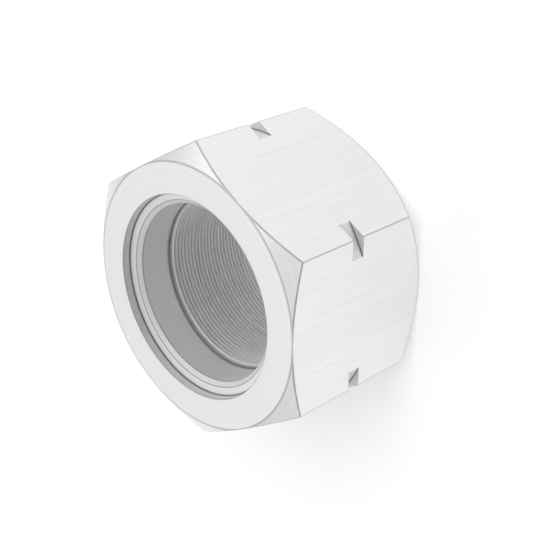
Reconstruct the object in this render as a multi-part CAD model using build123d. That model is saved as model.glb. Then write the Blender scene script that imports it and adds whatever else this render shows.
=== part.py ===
from build123d import *
import os
from math import radians, sqrt, tan

# One-piece hexagon nut with a left-hand thread mark and a stepped bore, in millimetres.
# The bore runs along Z. The back end face stands at Z = 0 and the open mouth looks up.
# Two corners of the hexagon point along Y, and two flats face along X.

# Hexagon
across_flats = 30.0
height = 20.0

# Turned chamfers at the two ends of the hexagon
front_chamfer_angle = 30.0    # measured from the front face, starting where the turned circle meets the flats
back_chamfer = 2.5            # at 45 degrees, measured at the corners

# Left-hand thread mark: a square groove, turned half-way along the corners, that misses the flats
mark_width = 1.45
mark_depth = 1.0              # below the corners

# Bore, from the front face down
mouth_diameter = 22.9
mouth_depth = 1.0
shoulder_fall = 0.2           # the mouth's floor slopes gently down towards the bore
lead_in = 0.5                 # 45 degree chamfer between the mouth's floor and the recess
recess_diameter = 20.1        # clears the crests of the mating thread
recess_length = 3.9
step_fall = 0.4               # sloping step from the recess down to the threaded length
thread_bore_diameter = 19.46  # crests of a very fine 20 mm left-hand thread
back_lead_in = 0.5            # 45 degree chamfer at the back end

# Worked out from the sizes above
corner_radius = across_flats / sqrt(3)
front_face_radius = across_flats / 2
back_face_radius = corner_radius - back_chamfer
front_chamfer_fall = (corner_radius - front_face_radius) * tan(radians(front_chamfer_angle))
mark_level = (back_chamfer + height - front_chamfer_fall) / 2
mark_radius = corner_radius - mark_depth
blank_radius = corner_radius + mark_depth    # outside everything


def turned(outline):
    """Solid of revolution about Z, from (radius, level) points that start and end on the axis."""
    points = [(radius, 0, level) for radius, level in outline]
    return revolve(make_face(Polyline(*points, close=True)), Axis.Z)


def hexagon_bar():
    """Length of hexagon bar with its corners on Y."""
    return extrude(RegularPolygon(across_flats / 2, 6, major_radius=False, rotation=90), amount=height)


def turned_blank():
    """What the lathe leaves outside: a 45 degree cone, the mark's groove and the front cone."""
    back_cone_rise = blank_radius - back_face_radius
    front_cone_fall = (blank_radius - front_face_radius) * tan(radians(front_chamfer_angle))
    groove_bottom = mark_level - mark_width / 2
    groove_top = mark_level + mark_width / 2
    return turned([
        (0, 0),
        (back_face_radius, 0),
        (blank_radius, back_cone_rise),
        (blank_radius, groove_bottom),
        (mark_radius, groove_bottom),
        (mark_radius, groove_top),
        (blank_radius, groove_top),
        (blank_radius, height - front_cone_fall),
        (front_face_radius, height),
        (0, height),
    ])


def bore():
    """Everything that is bored out: mouth, sloping shoulder, lead-in, recess, step and threaded length."""
    mouth_radius = mouth_diameter / 2
    recess_radius = recess_diameter / 2
    thread_radius = thread_bore_diameter / 2
    mouth_floor = height - mouth_depth
    lead_in_top = mouth_floor - shoulder_fall
    recess_top = lead_in_top - lead_in
    step_top = recess_top - recess_length
    step_bottom = step_top - step_fall
    return turned([
        (0, height),
        (mouth_radius, height),
        (mouth_radius, mouth_floor),
        (recess_radius + lead_in, lead_in_top),
        (recess_radius, recess_top),
        (recess_radius, step_top),
        (thread_radius, step_bottom),
        (thread_radius, back_lead_in),
        (thread_radius + back_lead_in, 0),
        (0, 0),
    ])


nut = (hexagon_bar() & turned_blank()) - bore()

os.makedirs("parts", exist_ok=True)
export_step(nut, "parts/nut.step")
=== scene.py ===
# %% [markdown]
# A hexagon nut with a left-hand thread
#
# The object is one piece of bright stainless steel: a hexagon with turned chamfers, a groove across its
# corners that tells a fitter the thread is left-handed, and a bore that steps down from a wide mouth,
# through a smooth recess, to a very fine thread. The solid model already has every true size. This scene
# gives the nut what a solid leaves out: edges broken by a fraction of a millimetre, the thread itself, and
# the marks of the tools.

# %% Load the frame
import math
import bmesh
import bpy
import numpy as np
from mathutils import Matrix, Vector


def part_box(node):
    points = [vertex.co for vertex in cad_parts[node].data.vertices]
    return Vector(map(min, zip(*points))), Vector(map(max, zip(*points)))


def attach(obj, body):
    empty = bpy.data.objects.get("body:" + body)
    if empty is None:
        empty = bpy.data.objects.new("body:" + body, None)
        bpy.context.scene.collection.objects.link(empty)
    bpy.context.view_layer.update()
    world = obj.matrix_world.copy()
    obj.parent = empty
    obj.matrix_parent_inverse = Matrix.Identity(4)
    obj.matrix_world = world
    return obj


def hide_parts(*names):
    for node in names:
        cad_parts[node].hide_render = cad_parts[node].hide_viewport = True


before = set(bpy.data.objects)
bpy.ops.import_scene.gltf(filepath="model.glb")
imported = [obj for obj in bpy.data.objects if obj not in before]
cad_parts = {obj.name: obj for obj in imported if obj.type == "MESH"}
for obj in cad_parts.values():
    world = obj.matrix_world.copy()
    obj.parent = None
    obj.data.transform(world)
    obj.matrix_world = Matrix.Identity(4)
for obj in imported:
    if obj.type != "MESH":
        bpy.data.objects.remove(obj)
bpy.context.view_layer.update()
MM = 0.001    # every Blender object is in metres, and the sizes below are in millimetres
nut_low, nut_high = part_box("nut")
across_flats = (nut_high[0] - nut_low[0]) / MM
height = (nut_high[2] - nut_low[2]) / MM
print(f"hexagon {across_flats:.2f} mm across flats, {height:.2f} mm long")

# %% [markdown]
# The camera
#
# The picture is drawn in perspective. The bore lies level in it and one corner of the hexagon points
# straight up. The camera stands 45 degrees to the side of the bore and 25 degrees above it. The nut itself
# stands on its back end, so here the same view is taken with the camera turned on its side. Two directions
# of the nut, the way into the bore and the corner that looks up, are enough to work out the camera's own
# three axes. Keeping the nut's own frame and turning only the camera leaves every piece where the solid
# model has it.

# %% Set the camera at the picture's viewing angle
PICTURE_SIZE = 533              # pixels, square
PICTURE_FOCAL_LENGTH = 1111.9   # pixels
SENSOR = 36.0                   # millimetres
BESIDE = math.radians(45)       # how far the line of sight is turned away from the bore
ABOVE = math.radians(25)        # and how far it looks down
CORNER_UP = math.radians(-30)   # where the corner that looks up in the picture stands round the bore
FRONT_FACE_SEEN_AT = Vector((-8.071, -3.413, 118.095))   # millimetres right of, above and before the camera
NEAREST_SEEN = 10               # millimetres


def picture_axes():
    """Right, up and forward of the camera: forward lies BESIDE the bore and ABOVE it, measured from the
    corner that looks up, and right lies level."""
    into_bore = Vector((0, 0, -1))
    corner_up = Vector((math.cos(CORNER_UP), math.sin(CORNER_UP), 0))
    level = corner_up.cross(into_bore)
    forward = math.cos(ABOVE) * (math.cos(BESIDE) * into_bore + math.sin(BESIDE) * level)
    forward -= math.sin(ABOVE) * corner_up
    right = math.sin(BESIDE) * into_bore - math.cos(BESIDE) * level
    return right, right.cross(forward), forward


camera = bpy.data.objects.new("camera", bpy.data.cameras.new("camera"))
bpy.context.scene.collection.objects.link(camera)
right, up, forward = picture_axes()
front_centre = Vector((0, 0, height))
away = FRONT_FACE_SEEN_AT.x * right + FRONT_FACE_SEEN_AT.y * up + FRONT_FACE_SEEN_AT.z * forward
turn = Matrix((right, up, -forward)).transposed()
camera.matrix_world = Matrix.Translation((front_centre - away) * MM) @ turn.to_4x4()
camera.data.sensor_width = SENSOR
camera.data.lens = PICTURE_FOCAL_LENGTH * SENSOR / PICTURE_SIZE
camera.data.clip_start = NEAREST_SEEN * MM
bpy.context.scene.camera = camera
print("camera at", [round(v, 1) for v in camera.location / MM], "mm, lens", round(camera.data.lens, 1), "mm")

# %% [markdown]
# Round the hexagon
#
# A turned piece would be a profile spun about an axis. This nut is nearly that: in every slice that holds
# the axis its outside follows the same steps, and only the distance out to the flat changes from slice to
# slice. So the whole nut can be one surface of two parameters, the angle round the bore and the place along
# the profile. The slices aren't evenly spaced. More of them stand at the corners, which are rounded a
# little, and one stands exactly where the groove runs out of a flat.

# %% Angles of the slices and the hexagon's radius at each
SIDES = 6
HALF_SIDE = math.radians(180 / SIDES)   # angle from the middle of a flat to its corner
FLAT_SLICES = 28                # from the middle of a flat to where the corner's arc starts
ARC_SLICES = 5                  # from there to the middle of the corner
SAME_ANGLE = 1e-6               # radians: closer angles count as the same
corner_break = 0.16             # radius of the six long edges
mark_depth = 1.0                # groove of the left-hand mark, below the corners
apothem = across_flats / 2
corner_radius = across_flats / math.sqrt(3)
mark_radius = corner_radius - mark_depth


def slices_of_one_flat():
    """Angles and radii from the middle of one corner to just before the middle of the next, measured from
    the flat's middle. On the flat the radius is the apothem over the angle's cosine. At a corner the point
    runs along a small arc, whose centre lies where the two flats, moved in by the arc's radius, meet. Also
    says which slices lie on an arc."""
    arc_centre = (apothem - corner_break) / math.cos(HALF_SIDE)
    lean = np.radians(np.linspace(-180 / SIDES, 0, ARC_SLICES))
    arc_x = arc_centre * math.cos(HALF_SIDE) + corner_break * np.cos(lean + HALF_SIDE)
    arc_y = arc_centre * math.sin(HALF_SIDE) + corner_break * np.sin(lean + HALF_SIDE)
    corner_angle, corner_reach = np.arctan2(arc_y, arc_x), np.hypot(arc_x, arc_y)
    groove_end = math.acos(apothem / mark_radius)
    on_flat = np.sort(np.append(np.linspace(0, corner_angle[0], FLAT_SLICES)[:-1], groove_end))
    half_angle = np.concatenate([on_flat, corner_angle])
    half_reach = np.concatenate([apothem / np.cos(on_flat), corner_reach])
    angle = np.concatenate([-half_angle[:0:-1], half_angle])
    reach = np.concatenate([half_reach[:0:-1], half_reach])
    return angle[:-1], reach[:-1], np.abs(angle[:-1]) > corner_angle[0] - SAME_ANGLE


one_angle, one_reach, one_arc = slices_of_one_flat()
turn_angle = np.concatenate([one_angle + math.radians(360 / SIDES * side) for side in range(SIDES)])
turn_angle = np.append(turn_angle, turn_angle[0] + 2 * math.pi)
hexagon_reach = np.append(np.tile(one_reach, SIDES), one_reach[0])
on_arc = np.append(np.tile(one_arc, SIDES), one_arc[0])
print(len(turn_angle), "slices, widest", round(2 * hexagon_reach.max(), 3), "mm over the corners")

# %% [markdown]
# The profile in each slice
#
# The profile runs from inside the bore's back edge, over the back face, up the hexagon with its groove,
# over the front face and down through the stepped mouth as far as the sloping step. Each of its corners
# depends on the slice only through the hexagon's reach. Where a step vanishes, as the groove does in the
# middle of a flat, two corners fall together, and the doubles are merged at the end. Every corner is then
# eased by a short curve, as a file or a worn tool would leave it. A Bevel modifier could do that too, but it
# clamps its width where two edges run together, as the chamfer and the flat do here. Beside each curve
# stands one more row, which holds the face flat: without it the shading of the curve would fade right
# across the long faces.

# %% Sizes of the profile
front_chamfer_slope = math.tan(math.radians(30))
back_chamfer = 2.5              # at 45 degrees, on the corners
mark_width = 1.45
mouth_radius = 11.45
mouth_depth = 1.0
shoulder_fall = 0.2             # of the mouth's floor, towards the bore
lead_in = 0.5
recess_radius = 10.05
recess_length = 3.9
step_fall = 0.4
crest_radius = 9.73             # of the thread, and the bore of the solid model
back_lead_in = 0.5
patch_margin = 0.05             # the thread's own surface starts this far down the step
thread_bottom = 0.15            # and ends at this level, on the back lead-in

back_face_radius = corner_radius - back_chamfer
mark_level = (back_chamfer + height - (corner_radius - apothem) * front_chamfer_slope) / 2
recess_top = height - mouth_depth - shoulder_fall - lead_in
step_top = recess_top - recess_length
step_slope = (recess_radius - crest_radius) / step_fall
thread_top = step_top - patch_margin
print(f"groove at {mark_level:.2f} mm, recess from {recess_top:.2f} down to {step_top:.2f} mm above the back")


# %% Corners of the profile
def profile_corners(reach):
    """(radius, level) of each corner, for all slices at once: an array of slices x corners x 2. The outside
    is the hexagon's reach, cut by a 45 degree cone at the back, the groove in the middle and a 30 degree
    cone in front."""
    groove = np.minimum(reach, mark_radius)
    groove_low, groove_top = mark_level - mark_width / 2, mark_level + mark_width / 2
    corners = [
        (crest_radius + back_lead_in - thread_bottom, thread_bottom),
        (crest_radius + back_lead_in, 0),
        (back_face_radius, 0),
        (reach, reach - back_face_radius),
        (reach, groove_low),
        (groove, groove_low),
        (groove, groove_top),
        (reach, groove_top),
        (reach, height - (reach - apothem) * front_chamfer_slope),
        (apothem, height),
        (mouth_radius, height),
        (mouth_radius, height - mouth_depth),
        (recess_radius + lead_in, recess_top + lead_in),
        (recess_radius, recess_top),
        (recess_radius, step_top),
        (recess_radius - patch_margin * step_slope, thread_top),
    ]
    full = [np.broadcast_arrays(radius, level, reach)[:2] for radius, level in corners]
    return np.stack([np.stack(corner, -1) for corner in full], 1)


profile = profile_corners(hexagon_reach)
print("profile:", profile.shape[1], "corners in each of", profile.shape[0], "slices")

# %% Ease the corners
EASING = np.array([             # how far each corner of the profile is eased, in millimetres
    0,                          # where the thread's surface ends
    0.10, 0.10,                 # inner and outer edge of the back face
    0.12,                       # back chamfer and flat
    0.07, 0.05, 0.05, 0.07,     # the groove: lower edge, its two inner corners, upper edge
    0.12, 0.12,                 # front chamfer: at the flat and at the front face
    0.10, 0.06,                 # mouth: its edge and its inner corner
    0.08, 0.08,                 # the lead-in's two edges
    0.05,                       # inner corner at the top of the step
    0,                          # where the thread's surface starts
])
EASING_STEPS = 4                # pieces of each curve
EASING_SHARE = 0.45             # the most of a side that one curve takes up
HOLD = 2.5                      # place of the holding rows, in easings from the corner
HOLD_SHARE = 0.48               # and the furthest along a side that they stand
ROWS_PER_CORNER = EASING_STEPS + 3
NO_LENGTH = 1e-9                # millimetres: stands in for the length of a side that has vanished


def ease_corners(corners):
    """Rounds every corner of each slice by a quadratic curve. The curve leaves one side and meets the other
    at the corner's easing, or at under half the side where that is shorter, so a side that vanishes takes
    its curve along. A point of the curve is (1-t)^2 start + 2t(1-t) corner + t^2 end. A holding row stands
    before and after it. The profile's two ends have no curve, so their copies are left out."""

    def toward(other, distance, share):
        """Point at the distance from each corner to the other, but at no more than a share of the way."""
        side = other - corners
        length = np.linalg.norm(side, axis=2, keepdims=True)
        step = np.minimum(distance[None, :, None], share * length)
        return corners + side * step / np.maximum(length, NO_LENGTH)

    before, after = np.roll(corners, 1, 1), np.roll(corners, -1, 1)
    start = toward(before, EASING, EASING_SHARE)[:, :, None]
    end = toward(after, EASING, EASING_SHARE)[:, :, None]
    t = np.linspace(0, 1, EASING_STEPS + 1)[None, None, :, None]
    curve = (1 - t) ** 2 * start + 2 * t * (1 - t) * corners[:, :, None] + t ** 2 * end
    hold_in = toward(before, HOLD * EASING, HOLD_SHARE)[:, :, None]
    hold_out = toward(after, HOLD * EASING, HOLD_SHARE)[:, :, None]
    rows = np.concatenate([hold_in, curve, hold_out], 2).reshape(len(corners), -1, 2)
    return rows[:, ROWS_PER_CORNER - 1:1 - ROWS_PER_CORNER]


shell = ease_corners(profile)
print("outer surface:", shell.shape[0], "slices of", shell.shape[1], "points")

# %% [markdown]
# The left-hand thread
#
# The thread is the same 60 degree groove carried round the bore, half a millimetre lower or higher each
# turn. On a left-hand thread the ridge climbs clockwise, seen from the front, so its level falls as the
# angle grows. The four corners of the groove's section are the rows of the surface, which keeps its crests
# sharp with few faces. At both ends the thread runs out into a cone. A row that follows the helix meets the
# level rows of the cones at a slant, so in each slice the rows of both kinds are sorted by level. Sorting
# keeps every row unbroken from slice to slice, and the grid stays a grid. The last slice stands where the
# first one does. Its helical rows have come down by one pitch, to where the first slice has the rows of the
# next turn, so the wall closes when doubles are merged.

# %% The thread's section
PITCH = 0.5
CREST_FLAT = PITCH / 4
ROOT_FLAT = PITCH / 8
HALF_GROOVE_ANGLE = math.radians(30)
root_radius = crest_radius + (PITCH - CREST_FLAT - ROOT_FLAT) / 2 / math.tan(HALF_GROOVE_ANGLE)
section = np.array([CREST_FLAT / 2, (PITCH - ROOT_FLAT) / 2, (PITCH + ROOT_FLAT) / 2, PITCH - CREST_FLAT / 2])


def thread_radius(level, angle):
    """Radius of the threaded wall. The groove's section is a function of the level's place within one pitch,
    counted from a crest, once the helix is taken out: level + pitch x angle / full turn. Beyond the section's
    two ends the wall keeps the crest's radius."""
    place = np.mod(level + PITCH * angle / (2 * math.pi), PITCH)
    wall = np.interp(place, section, [crest_radius, root_radius, root_radius, crest_radius])
    front_cone = crest_radius + (level - (step_top - step_fall)) * step_slope
    back_cone = crest_radius + back_lead_in - level
    return np.maximum(wall, np.maximum(front_cone, back_cone))


print(f"thread: crests {2 * crest_radius:.2f} mm, roots {2 * root_radius:.2f} mm, pitch {PITCH} mm")

# %% Rows of the thread
CONE_ROW_STEP = 0.1             # millimetres between the level rows that divide the cones
SPARE_BELOW = 1                 # turns that the helical rows start below the thread
SPARE_ABOVE = 3                 # and above it, because they fall by a turn on the way round


def thread_rows(angle):
    """(radius, level) of each row in each slice, from the top down. Helical rows fall by one pitch each turn
    and are held between the patch's two ends. Level rows divide the cones and mark where they begin."""
    lowest = math.floor(thread_bottom / PITCH) - SPARE_BELOW
    highest = math.ceil(thread_top / PITCH) + SPARE_ABOVE
    started = (np.arange(lowest, highest)[:, None] * PITCH + section).ravel()
    helical = np.clip(started[None, :] - PITCH * angle[:, None] / (2 * math.pi), thread_bottom, thread_top)
    cone_levels = [thread_bottom, thread_bottom + CONE_ROW_STEP, back_lead_in, step_top - step_fall,
                   thread_top - 2 * CONE_ROW_STEP, thread_top - CONE_ROW_STEP, thread_top]
    level_rows = np.broadcast_to(cone_levels, (len(angle), len(cone_levels)))
    level = -np.sort(-np.concatenate([helical, level_rows], 1), axis=1)
    return np.stack([thread_radius(level, angle[:, None]), level], -1)


thread = thread_rows(turn_angle)
print("threaded wall:", round((thread_top - thread_bottom) / PITCH), "turns,", thread.shape[1], "rows")

# %% [markdown]
# From grid to mesh
#
# Both grids share their slices, so they join into one closed surface: the profile, then the thread. The
# points become corners of four-sided faces, as whole arrays. Merging the doubles closes the seam at the
# first slice and removes the faces that have shrunk to nothing. Each face also keeps a 0 or a 1 for each
# kind of finish that the material will ask about: the six flats keep the bright skin of drawn bar, a lathe
# cut the rest, the groove, the bore and the thread were each cut by another tool, and the curves along the
# edges have a finish of their own.

# %% Faces of the grid, and the finish of each
SAME_SIZE = 1e-5                # millimetres: closer radii and levels count as the same
END_MARGIN = 0.01               # millimetres: keeps the two end faces out of the flats
FIRST_CURVE = 2                 # row where the first curve starts, after the profile's end and a holding row


def grid_faces(slices, rows):
    """Corner numbers of the faces between neighbouring slices and neighbouring rows."""
    i, j = np.meshgrid(np.arange(slices - 1), np.arange(rows - 1), indexing="ij")
    first = (i * rows + j).ravel()
    return np.stack([first, first + rows, first + rows + 1, first + 1], 1)


def whole_faces(inside):
    """True for a face whose four corners are all inside."""
    return inside[:-1, :-1] & inside[1:, :-1] & inside[:-1, 1:] & inside[1:, 1:]


def finishes(rows):
    """Which faces have each finish. A drawn flat stands upright on the hexagon's reach. The groove lies at
    the mark's level, in the slices that reach past its floor. The bore is what lies within the mouth, and
    the thread is the last rows of the grid. An edge is the curve at a corner of the profile, where it leaves
    the flat, or the arc between two flats."""
    radius, level = rows[:, :, 0], rows[:, :, 1]
    reach = hexagon_reach[:, None]
    drawn = np.isclose(radius, reach, atol=SAME_SIZE) & (level > END_MARGIN) & (level < height - END_MARGIN)
    groove = (radius > apothem) & (reach > mark_radius - SAME_SIZE)
    groove = groove & (abs(level - mark_level) < mark_width / 2 + SAME_SIZE)
    bore = (radius < mouth_radius + SAME_SIZE) & (level > back_lead_in)
    tapped = np.zeros_like(drawn)
    tapped[:, shell.shape[1] - 1:] = True
    column = np.arange(rows.shape[1] - 1)
    on_curve = ((column - FIRST_CURVE) % ROWS_PER_CORNER < EASING_STEPS) & (column < shell.shape[1] - 1)
    return {
        "drawn": whole_faces(drawn),
        "groove": whole_faces(groove),
        "bored": whole_faces(bore | tapped),
        "tapped": whole_faces(tapped),
        "edge": (on_curve & ~whole_faces(drawn)) | whole_faces(drawn & on_arc[:, None]),
    }


grid = np.concatenate([shell, thread[:, 1:]], 1)
finish_of_faces = finishes(grid)
print("faces of each finish:", {name: int(where.sum()) for name, where in finish_of_faces.items()})

# %% Build the nut
DOUBLES = 1e-7                  # metres: closer points are merged


def close_up(mesh):
    """Merges the doubles and turns every face outwards."""
    work = bmesh.new()
    work.from_mesh(mesh)
    bmesh.ops.remove_doubles(work, verts=work.verts, dist=DOUBLES)
    bmesh.ops.recalc_face_normals(work, faces=work.faces)
    if work.calc_volume(signed=True) < 0:
        bmesh.ops.reverse_faces(work, faces=work.faces)
    open_edges = sum(not edge.is_manifold for edge in work.edges)
    volume = round(work.calc_volume() / MM ** 3)
    print("nut:", len(work.faces), "faces,", open_edges, "open edges,", volume, "mm3")
    work.to_mesh(mesh)
    work.free()


def build_nut():
    """A point's radius and slice angle give its x and y, its level gives its z."""
    x = grid[:, :, 0] * np.cos(turn_angle)[:, None]
    y = grid[:, :, 0] * np.sin(turn_angle)[:, None]
    points = np.stack([x, y, grid[:, :, 1]], -1).reshape(-1, 3) * MM
    faces = grid_faces(len(turn_angle), grid.shape[1])
    mesh = bpy.data.meshes.new("hexagon_nut")
    mesh.from_pydata(points.tolist(), [], faces.tolist())
    for name, where in finish_of_faces.items():
        layer = mesh.attributes.new(name, "FLOAT", "FACE")
        layer.data.foreach_set("value", where.astype(float).ravel())
    close_up(mesh)
    mesh.shade_smooth()
    piece = bpy.data.objects.new("hexagon_nut", mesh)
    bpy.context.scene.collection.objects.link(piece)
    return piece


nut = build_nut()

# %% [markdown]
# Shading, and its place in the frame
#
# Smooth shading blends the light over neighbouring faces. The eased edges are meant to be blended, and the
# narrow crests of the thread aren't, so edges over 35 degrees are marked sharp. Weighted normals then let
# the large faces decide how a shared point is lit, and the flats stay flat up to their holding rows. The
# frame has one body, root, and one node, which this mesh stands for.

# %% Shade the nut, hang it on the root body and hide the solid's nut
SHARP_ANGLE = math.radians(35)

nut.data.set_sharp_from_angle(angle=SHARP_ANGLE)
weighted = nut.modifiers.new("even_shading", "WEIGHTED_NORMAL")
weighted.keep_sharp = True
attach(nut, "root")
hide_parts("nut")
print("sharp edges over", round(math.degrees(SHARP_ANGLE)), "degrees")

# %% [markdown]
# Writing shader maths as Python
#
# A procedural finish is arithmetic on the place of a point. In Blender each sum is a Math node, and a long
# chain of them is hard to read. The small class below wraps a node's output, so that an ordinary expression
# adds the nodes. Any other node comes from one method. The same class serves the materials and the world.


# %% Wires
class Wire:
    """An output of a node. Sums, products and powers of wires and plain numbers add Math nodes."""

    def __init__(self, nodes, socket):
        self.nodes = nodes
        self.socket = socket

    def __add__(self, other):
        return self.nodes.maths("ADD", self, other)

    def __radd__(self, other):
        return self.nodes.maths("ADD", other, self)

    def __sub__(self, other):
        return self.nodes.maths("SUBTRACT", self, other)

    def __rsub__(self, other):
        return self.nodes.maths("SUBTRACT", other, self)

    def __mul__(self, other):
        return self.nodes.maths("MULTIPLY", self, other)

    def __rmul__(self, other):
        return self.nodes.maths("MULTIPLY", other, self)

    def __pow__(self, other):
        return self.nodes.maths("POWER", self, other)


# %% Node trees
class Nodes:
    """The node tree of a material or a world, started empty."""

    def __init__(self, owner):
        owner.use_nodes = True
        self.owner = owner
        self.tree = owner.node_tree
        self.tree.nodes.clear()

    def add(self, kind, settings=None, inputs=None, output=0):
        """Adds a node, sets its settings, then the values or links of its inputs, and gives one of its
        outputs. A ramp's stops are a list of (place, grey)."""
        node = self.tree.nodes.new(kind)
        for name, value in (settings or {}).items():
            if name == "stops":
                self.set_stops(node.color_ramp.elements, value)
            else:
                setattr(node, name, value)
        for name, value in (inputs or {}).items():
            if isinstance(value, Wire):
                self.tree.links.new(value.socket, node.inputs[name])
            else:
                node.inputs[name].default_value = value
        return Wire(self, node.outputs[output]) if node.outputs else None

    @staticmethod
    def set_stops(elements, stops):
        """Sets the stops of a ramp, which starts with two."""
        while len(elements) < len(stops):
            elements.new(1.0)
        for element, (place, grey) in zip(elements, stops):
            element.position = place
            element.color = (grey, grey, grey, 1)

    def outputs(self, wire, names):
        """The named outputs of the node that a wire comes from."""
        return [Wire(self, wire.socket.node.outputs[name]) for name in names]

    def maths(self, operation, *values):
        """A Math node on wires and plain numbers."""
        return self.add("ShaderNodeMath", {"operation": operation}, dict(enumerate(values)))

    def split(self, vector):
        """The three parts of a vector."""
        return self.outputs(self.add("ShaderNodeSeparateXYZ", inputs={0: vector}), "XYZ")

    def noise(self, inputs, dimensions="3D"):
        """Noise over a vector, or over the number W in one dimension."""
        return self.add("ShaderNodeTexNoise", {"noise_dimensions": dimensions}, inputs)

    def between(self, value, low, high):
        """0 below low, 1 above high and smooth in between. It runs the other way if low is the larger."""
        settings = {"interpolation_type": "SMOOTHSTEP"}
        return self.add("ShaderNodeMapRange", settings, {"Value": value, "From Min": low, "From Max": high})

    def report(self):
        """Prints how many nodes the finished tree has, and gives the material or world."""
        print(self.owner.name, "has", len(self.tree.nodes), "nodes")
        return self.owner


# %% [markdown]
# Bright steel, turned and drawn
#
# A lathe leaves rings: round the axis on a face and round the wall of a bore. A bar drawn through a die
# carries faint lines along its length instead. Both are noise that is stretched one way. For the rings it
# runs over radius plus part of the level, which changes along every turned surface of the nut whatever its
# slope. For the lines it runs across the flat, and hardly changes with the level. The noise makes shallow
# bumps. It also shifts the colour and the roughness a little, because a rougher cut scatters more. Nobody
# polishes the bore or the groove, so they are rougher. Their colour is also painted a little paler, as
# painted light that lifts the shade between their walls. What is duller is moved towards a second grey:
# the thread and, as thin lines, the edges that were broken with a file. The inner corners are moved towards
# the same grey too, as painted shade.

# %% Values of the steel
STEEL = (0.91, 0.91, 0.915, 1)
# the second grey: the duller steel, and also the painted shade of the inner corners
DULL_AND_SHADED_STEEL = (0.30, 0.30, 0.305, 1)
PLAIN_ROUGHNESS = 0.22
FINISHES = {                    # how much duller and rougher the steel is where each of these is 1
    "marks": (0.17, 0.08),      # rings and lines of the tools
    "cloud": (0.045, 0.06),     # soft patches
    # painted light: the bore's colour is painted paler to lift the shade between its walls
    "bored": (-0.11, 0.42),
    "tapped": (0.19, -0.06),    # on top of the bore's, which the thread has too
    # painted light: the groove's colour is painted paler to lift the shade between its walls
    "groove": (-0.05, 0.45),
    "edge": (0.42, 0.20),
}
RINGS_PER_MM = 2.4
RING_SLOPE = 0.6                # how much the level counts for the rings, beside the radius
LINES_PER_MM = 4.0              # across a flat
LINE_CHANGES_PER_MM = 0.05      # along it
CLOUDS_PER_METRE = 160.0
BUMP_DEPTH = 0.03               # millimetres
# painted shade in the inner corners: how far towards the second grey they are darkened, and where
CORNER_PAINTED_SHADE = 0.75
PAINTED_SHADE_CORNERS = [                     # (radius, level, reach) of the inner corners, in millimetres
    (mouth_radius, height - mouth_depth, 0.28),
    (recess_radius, step_top, 0.45),
    (mark_radius, mark_level - mark_width / 2, 0.14),
    (mark_radius, mark_level + mark_width / 2, 0.14),
]
print("steel:", len(FINISHES), "changes of finish,", len(PAINTED_SHADE_CORNERS), "inner corners")


# %% Material of the nut
def tool_marks(steel, x, y, z, radius, drawn):
    """Rings where a lathe cut the surface, and lines where the bar was drawn."""
    rings = steel.noise({"W": (radius + RING_SLOPE * z) * RINGS_PER_MM, "Scale": 1.0, "Detail": 3.0}, "1D")
    stretched = steel.add("ShaderNodeCombineXYZ", inputs={
        "X": x * LINES_PER_MM, "Y": y * LINES_PER_MM, "Z": z * LINE_CHANGES_PER_MM})
    lines = steel.noise({"Vector": stretched, "Scale": 1.0, "Detail": 1.5})
    return rings * (1 - drawn) + lines * drawn


def painted_corner_shade(steel, radius, z):
    """Mask of the painted shade: 1 in the inner corners, and 0 from their reach on. The distance is that of
    the point from the corner's circle, in the slice through the axis."""
    near = []
    for ring_radius, ring_level, reach in PAINTED_SHADE_CORNERS:
        distance = ((radius - ring_radius) ** 2 + (z - ring_level) ** 2) ** 0.5
        near.append(steel.between(distance, reach, 0.0))
    return sum(near)


def bright_steel():
    steel = Nodes(bpy.data.materials.new("bright_steel"))
    place = steel.add("ShaderNodeTexCoord", output="Object")
    x, y, z = [part * (1 / MM) for part in steel.split(place)]
    radius = (x ** 2 + y ** 2) ** 0.5
    faces = {
        name: steel.add("ShaderNodeAttribute", {"attribute_name": name}, output="Fac")
        for name in finish_of_faces
    }
    marks = tool_marks(steel, x, y, z, radius, faces["drawn"])
    cloud = steel.noise({"Vector": place, "Scale": CLOUDS_PER_METRE, "Detail": 3.0})
    masks = {"marks": marks, "cloud": cloud, **faces}

    # the tone: real dulling by tools, thread and edges, plus painted light in the bore and groove and painted
    # shade in the inner corners
    dull_and_painted_light = 0
    roughness = PLAIN_ROUGHNESS
    for name, (tone_shift, rougher) in FINISHES.items():
        dull_and_painted_light = dull_and_painted_light + tone_shift * masks[name]
        roughness = roughness + rougher * masks[name]
    # painted shade: the inner corners are darkened towards the second grey, except on the flats
    dull_and_painted_light = dull_and_painted_light + CORNER_PAINTED_SHADE * painted_corner_shade(steel, radius, z) * (1 - faces["drawn"])
    colour = steel.add("ShaderNodeMix", {"data_type": "RGBA", "clamp_factor": True},
                       {0: dull_and_painted_light, 6: STEEL, 7: DULL_AND_SHADED_STEEL}, output=2)
    bump = steel.add("ShaderNodeBump", inputs={"Strength": 0.3, "Distance": BUMP_DEPTH * MM, "Height": marks})
    shader = steel.add("ShaderNodeBsdfPrincipled", inputs={
        "Base Color": colour, "Metallic": 1.0, "Roughness": roughness, "Normal": bump})
    steel.add("ShaderNodeOutputMaterial", inputs={"Surface": shader})
    return steel.report()


nut.data.materials.append(bright_steel())

# %% [markdown]
# Floor and light
#
# The picture has a plain white ground. The floor here is a real one under soft light, and for the camera
# and for mirror rays part of it is plain white, so it stays white where it is open and still takes the
# nut's shadow. The world is white for the camera too, and lights everything that isn't a mirror at a plain
# level. Bright metal shows what stands round it, and in an evenly white room its edges would vanish. So the
# studio that the metal sees is white behind the nut and falls off towards the side where the picture is
# taken, as it does in a light tent with one open side. The first two lamps light only the floor, where they
# cast the shadow. Most of it falls behind the nut, as the picture sees it: the two flats that face the
# camera mirror the floor in front of them, and stay as bright as it is. The third lamp is the widest, and
# stands over the corner that looks up in the picture. The metal sees that one too. It is too weak to clip
# even where a chamfer mirrors it whole, and it makes the lower side of the bore lighter than the upper one.

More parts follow.
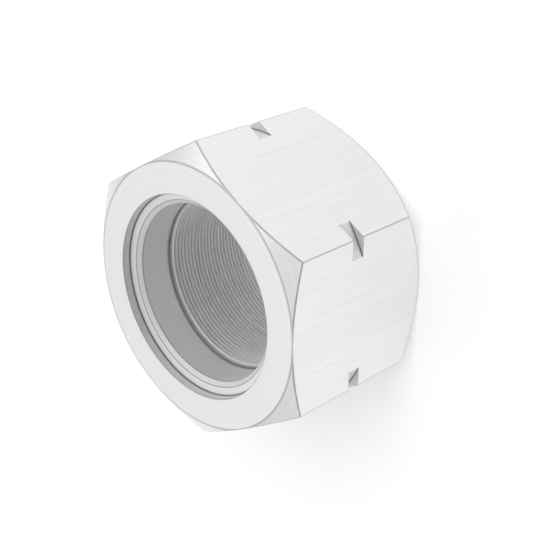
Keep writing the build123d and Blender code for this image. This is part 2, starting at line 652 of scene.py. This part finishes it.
# %% Floor
CAMERA_WHITE = 0.5              # share of plain white in what the camera sees of the floor
MIRROR_WHITE = 0.45             # and in what mirror rays see of it
FLOOR_COLOUR = (0.96, 0.96, 0.96, 1)
FLOOR_HALF = 3.0                # half its width, in metres


def seen_directly(nodes):
    """Two masks: rays from the camera, and rays off a mirror or through glass."""
    kinds = ["Is Camera Ray", "Is Glossy Ray", "Is Transmission Ray"]
    camera_ray, glossy_ray, glass_ray = nodes.outputs(nodes.add("ShaderNodeLightPath"), kinds)
    return camera_ray, nodes.maths("MAXIMUM", glossy_ray, glass_ray)


def white_ground():
    ground = Nodes(bpy.data.materials.new("white_ground"))
    camera_ray, mirror_ray = seen_directly(ground)
    share = camera_ray * CAMERA_WHITE + mirror_ray * MIRROR_WHITE
    lit = ground.add("ShaderNodeBsdfDiffuse", inputs={"Color": FLOOR_COLOUR})
    white = ground.add("ShaderNodeEmission", inputs={"Strength": 1.0})
    both = ground.add("ShaderNodeMixShader", inputs={0: share, 1: lit, 2: white})
    ground.add("ShaderNodeOutputMaterial", inputs={"Surface": both})
    return ground.report()


floor_mesh = bpy.data.meshes.new("floor")
floor_corners = [(-FLOOR_HALF, -FLOOR_HALF, 0), (FLOOR_HALF, -FLOOR_HALF, 0),
                 (FLOOR_HALF, FLOOR_HALF, 0), (-FLOOR_HALF, FLOOR_HALF, 0)]
floor_mesh.from_pydata(floor_corners, [], [(0, 1, 2, 3)])
floor = bpy.data.objects.new("floor", floor_mesh)
bpy.context.scene.collection.objects.link(floor)
floor.data.materials.append(white_ground())

# %% World
PLAIN_LEVEL = 0.42              # of the world's light on everything that isn't a mirror
STUDIO_AXIS = Vector((0, 0.5, 0.866))    # from the nut to the middle of the white: high and behind
STUDIO = [                      # (cosine to the axis, strength), from the dim side to the white middle
    (-1.0, 0.25),
    (0.15, 0.25),
    (0.38, 0.68),
    (0.5, 0.74),
    (0.8, 0.84),
    (0.92, 1.0),
]


def studio():
    """For mirror rays the strength runs over the cosine between the ray and the studio's axis. For the camera
    it is 1, and for all else the plain level. A ramp runs from 0 to 1, so cosines are halved and moved up."""
    world = Nodes(bpy.data.worlds.new("studio"))
    direction = world.add("ShaderNodeTexCoord", output="Generated")
    cosine = world.add("ShaderNodeVectorMath", {"operation": "DOT_PRODUCT"},
                       {0: direction, 1: STUDIO_AXIS}, output=1)
    stops = [((place + 1) / 2, grey) for place, grey in STUDIO]
    tent = world.add("ShaderNodeValToRGB", {"stops": stops}, {0: cosine * 0.5 + 0.5})
    camera_ray, mirror_ray = seen_directly(world)
    seen = PLAIN_LEVEL + mirror_ray * (tent - PLAIN_LEVEL)
    strength = seen + camera_ray * (1 - seen)
    background = world.add("ShaderNodeBackground", inputs={"Color": (1, 1, 1, 1), "Strength": strength})
    world.add("ShaderNodeOutputWorld", inputs={"Surface": background})
    return world.report()


bpy.context.scene.world = studio()


# %% Lamps
def sun(name, toward, strength, spread, on_metal):
    """A far soft lamp that shines along toward, with its spread in degrees. Only a lamp that is on_metal
    shows in mirrors."""
    data = bpy.data.lights.new(name, "SUN")
    data.energy = strength
    data.angle = math.radians(spread)
    lamp = bpy.data.objects.new(name, data)
    bpy.context.scene.collection.objects.link(lamp)
    lamp.rotation_mode = "QUATERNION"
    lamp.rotation_quaternion = Vector(toward).to_track_quat("-Z", "Y")
    lamp.visible_glossy = on_metal
    print("lamp", name, "strength", strength, "spread", spread, "degrees")


sun("key", (-0.38, 0.52, -0.76), 2.1, 50, on_metal=False)
sun("back", (0.0, -0.77, -0.63), 0.45, 60, on_metal=False)
sun("corner", (-0.78, 0.25, -0.57), 0.5, 80, on_metal=True)

# %% View and finish
bpy.context.scene.view_settings.view_transform = "Standard"
